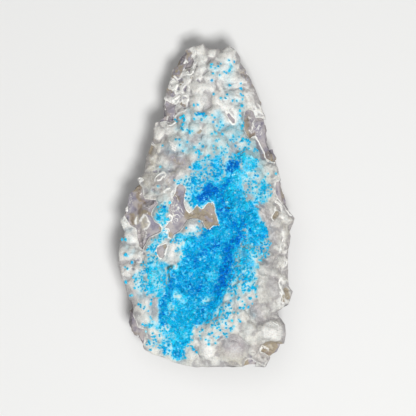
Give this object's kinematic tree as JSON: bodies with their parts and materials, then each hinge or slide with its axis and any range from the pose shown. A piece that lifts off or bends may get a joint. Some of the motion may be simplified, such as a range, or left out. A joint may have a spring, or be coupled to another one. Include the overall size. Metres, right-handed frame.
{
  "type": "pentagonite on heulandite specimen",
  "caption": "Mineral hand specimen lying on its back: basalt with a lumpy white heulandite crust and a hollow lined with blue pentagonite crystals.",
  "frame": {"origin": "middle of the specimen's box, on the surface that it rests on", "axes": "+X right across the face, +Y to the narrow tip, +Z out of the crystal-bearing face"},
  "size_m": [0.0874, 0.162, 0.0406],
  "materials": {
    "basalt": "matt, freshly broken, mauve-grey with khaki patches",
    "heulandite": "white to cream, slightly translucent, sugary",
    "pentagonite": "bright blue, glassy small crystals"
  },
  "bodies": {
    "root": {"basalt_matrix": "basalt", "heulandite_crust": "heulandite", "pentagonite_druse": "pentagonite", "pentagonite_pocket_cluster": "pentagonite", "pentagonite_crown_patch": "pentagonite"}
  },
  "joints": []
}
